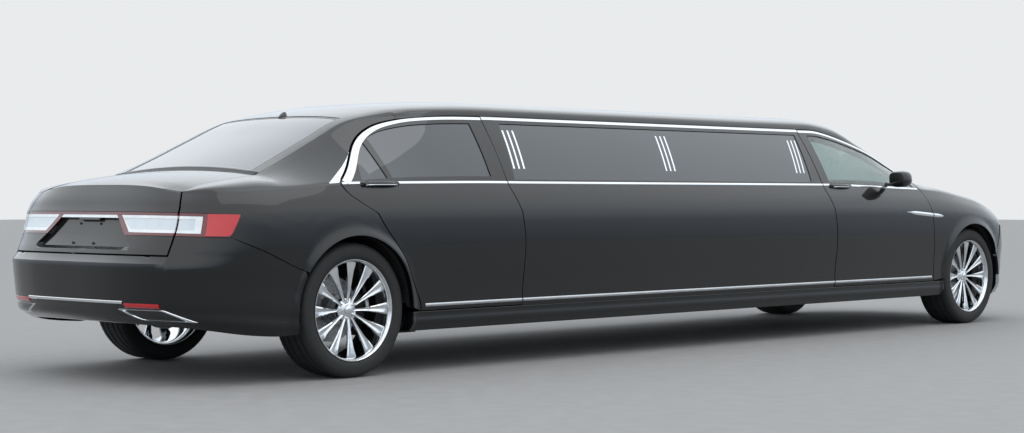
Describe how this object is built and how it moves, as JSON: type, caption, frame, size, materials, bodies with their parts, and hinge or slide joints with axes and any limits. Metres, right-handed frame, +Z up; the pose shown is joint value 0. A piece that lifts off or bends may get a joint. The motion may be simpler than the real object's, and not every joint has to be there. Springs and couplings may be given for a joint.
{
  "type": "stretch limousine",
  "caption": "Stretched four-door saloon limousine with lengthened centre cabin, opening doors, hood and trunk lid, steered front wheels and rolling wheels.",
  "frame": {"origin": "on the ground under the middle of the body, half way between the front and rear bumpers", "axes": "+X to the front of the car, +Y to its left side, +Z up"},
  "size_m": [8.1518, 2.1472, 1.49],
  "materials": {
    "body_paint": "gloss black",
    "bright_trim": "polished",
    "clear_lens": "clear",
    "red_lens": "red lens",
    "tinted_glass": "dark tinted",
    "black_plastic": "satin black",
    "dark_steel": "satin",
    "cast_parts": "cast",
    "exhaust_steel": "brushed",
    "seat_leather": "soft leather",
    "cabinet_wood": "lacquered",
    "bright_wheel": "bright polished",
    "tyre_rubber": "rubber"
  },
  "bodies": {
    "body": {"quarter_panels": "body_paint", "centre_panels": "body_paint", "front_fenders": "body_paint", "roof": "body_paint", "sill_covers": "body_paint", "front_bumper": "body_paint", "rear_bumper": "body_paint", "grille": "bright_trim", "headlamps": "clear_lens", "tail_lamps": "red_lens", "windshield": "tinted_glass", "rear_window": "tinted_glass", "centre_windows": "tinted_glass", "cowls": "black_plastic", "lid_frames": "black_plastic", "door_frames": "black_plastic", "wheel_liners": "black_plastic", "fuel_tank": "black_plastic", "partition": "black_plastic", "dashboard": "black_plastic", "floor_pan": "dark_steel", "subframes": "dark_steel", "engine_block": "cast_parts", "exhaust_system": "exhaust_steel", "front_seats": "seat_leather", "rear_bench": "seat_leather", "side_lounge": "seat_leather", "bar_cabinet": "cabinet_wood"},
    "hood": {"hood": "body_paint"},
    "trunk_lid": {"trunk_lid": "body_paint", "lid_lamp_bar": "red_lens"},
    "front_door_left": {"front_door_left": "body_paint", "front_door_glass_left": "tinted_glass", "mirror_left": "body_paint"},
    "front_door_right": {"front_door_right": "body_paint", "front_door_glass_right": "tinted_glass", "mirror_right": "body_paint"},
    "rear_door_left": {"rear_door_left": "body_paint", "rear_door_glass_left": "tinted_glass"},
    "rear_door_right": {"rear_door_right": "body_paint", "rear_door_glass_right": "tinted_glass"},
    "steering_wheel": {"steering_wheel": "black_plastic"},
    "steering_rack": {"steering_rack": "cast_parts"},
    "knuckle_left": {"knuckle_left": "cast_parts"},
    "knuckle_right": {"knuckle_right": "cast_parts"},
    "front_wheel_left": {"front_wheel_left": "bright_wheel", "front_tyre_left": "tyre_rubber"},
    "front_wheel_right": {"front_wheel_right": "bright_wheel", "front_tyre_right": "tyre_rubber"},
    "rear_wheel_left": {"rear_wheel_left": "bright_wheel", "rear_tyre_left": "tyre_rubber"},
    "rear_wheel_right": {"rear_wheel_right": "bright_wheel", "rear_tyre_right": "tyre_rubber"}
  },
  "joints": [
    {"name": "steer_left", "type": "hinge", "parent": "body", "child": "knuckle_left", "pos_m": [3.082, 0.79, 0.35], "axis": [0, 0, 1], "range_deg": [-35, 35]},
    {"name": "steer_right", "type": "hinge", "parent": "body", "child": "knuckle_right", "pos_m": [3.082, -0.79, 0.35], "axis": [0, 0, 1], "range_deg": [-35, 35]},
    {"name": "steering_wheel_turn", "type": "hinge", "parent": "body", "child": "steering_wheel", "pos_m": [2.128, 0.38, 0.86], "axis": [-0.9063, 0, 0.4226], "range_deg": [-518, 518]},
    {"name": "rack_slide", "type": "slide", "parent": "body", "child": "steering_rack", "axis": [0, 1, 0], "range_m": [-0.08, 0.08]},
    {"name": "front_wheel_left_spin", "type": "hinge", "parent": "knuckle_left", "child": "front_wheel_left", "pos_m": [3.082, 0.804, 0.35], "axis": [0, 1, 0], "continuous": true},
    {"name": "front_wheel_right_spin", "type": "hinge", "parent": "knuckle_right", "child": "front_wheel_right", "pos_m": [3.082, -0.804, 0.35], "axis": [0, 1, 0], "continuous": true},
    {"name": "rear_wheel_left_spin", "type": "hinge", "parent": "body", "child": "rear_wheel_left", "pos_m": [-2.96, 0.804, 0.35], "axis": [0, 1, 0], "continuous": true},
    {"name": "rear_wheel_right_spin", "type": "hinge", "parent": "body", "child": "rear_wheel_right", "pos_m": [-2.96, -0.804, 0.35], "axis": [0, 1, 0], "continuous": true},
    {"name": "front_door_left_hinge", "type": "hinge", "parent": "body", "child": "front_door_left", "pos_m": [2.5555, 0.956, 0.7], "axis": [0, 0, -1], "range_deg": [0, 65]},
    {"name": "front_door_right_hinge", "type": "hinge", "parent": "body", "child": "front_door_right", "pos_m": [2.5555, -0.956, 0.7], "axis": [0, 0, 1], "range_deg": [0, 65]},
    {"name": "rear_door_left_hinge", "type": "hinge", "parent": "body", "child": "rear_door_left", "pos_m": [-1.711, 0.956, 0.7], "axis": [0, 0, -1], "range_deg": [0, 65]},
    {"name": "rear_door_right_hinge", "type": "hinge", "parent": "body", "child": "rear_door_right", "pos_m": [-1.711, -0.956, 0.7], "axis": [0, 0, 1], "range_deg": [0, 65]},
    {"name": "hood_hinge", "type": "hinge", "parent": "body", "child": "hood", "pos_m": [2.848, 0, 1.05], "axis": [0, -1, 0], "range_deg": [0, 50]},
    {"name": "trunk_lid_hinge", "type": "hinge", "parent": "body", "child": "trunk_lid", "pos_m": [-3.398, 0, 1.082], "axis": [0, 1, 0], "range_deg": [0, 75]}
  ],
  "couplings": [
    {"joint": "steer_right", "follows": "steer_left", "ratio": 1},
    {"joint": "steering_wheel_turn", "follows": "steer_left", "ratio": 14.8},
    {"joint": "rack_slide", "follows": "steer_left", "m_per_rad": -0.12}
  ]
}
